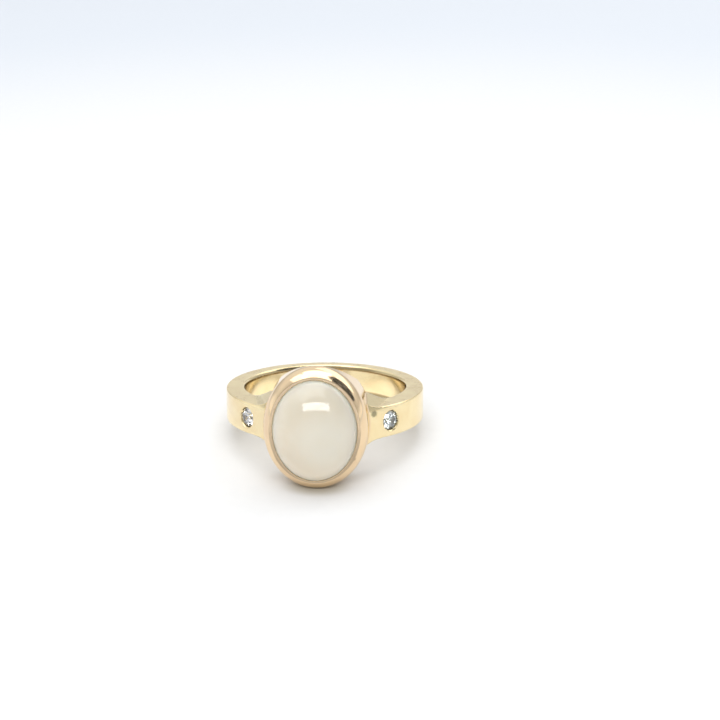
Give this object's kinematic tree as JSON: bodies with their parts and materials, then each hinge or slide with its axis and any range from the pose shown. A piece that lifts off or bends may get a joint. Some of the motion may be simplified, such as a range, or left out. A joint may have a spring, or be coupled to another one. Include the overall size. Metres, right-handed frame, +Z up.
{
  "type": "moonstone ring",
  "caption": "Gold finger ring lying on its side, with an oval cream moonstone cabochon in a smooth bezel and a small round brilliant flush set in each shoulder of its flat band.",
  "frame": {"origin": "on the surface that the ring lies on, under the middle of its bounding box", "axes": "+Z up, the moonstone faces -Y, +X runs across the ring; the finger's axis leans back from +Z towards +Y by about 12.6 degrees, as the ring rests on the bezel's lower end and the back of the band"},
  "size_m": [0.0212, 0.025, 0.0125],
  "materials": {
    "gold": "pale yellow gold, satin on the side faces and polished on the outer face and the bezel, with fine wear",
    "moonstone": "polished milky cream moonstone, translucent, with a soft glow",
    "brilliant": "clear colourless round brilliant, polished facets"
  },
  "bodies": {
    "root": {"band_and_bezel": "gold", "moonstone": "moonstone", "side_stone_left": "brilliant", "side_stone_right": "brilliant"}
  },
  "joints": []
}
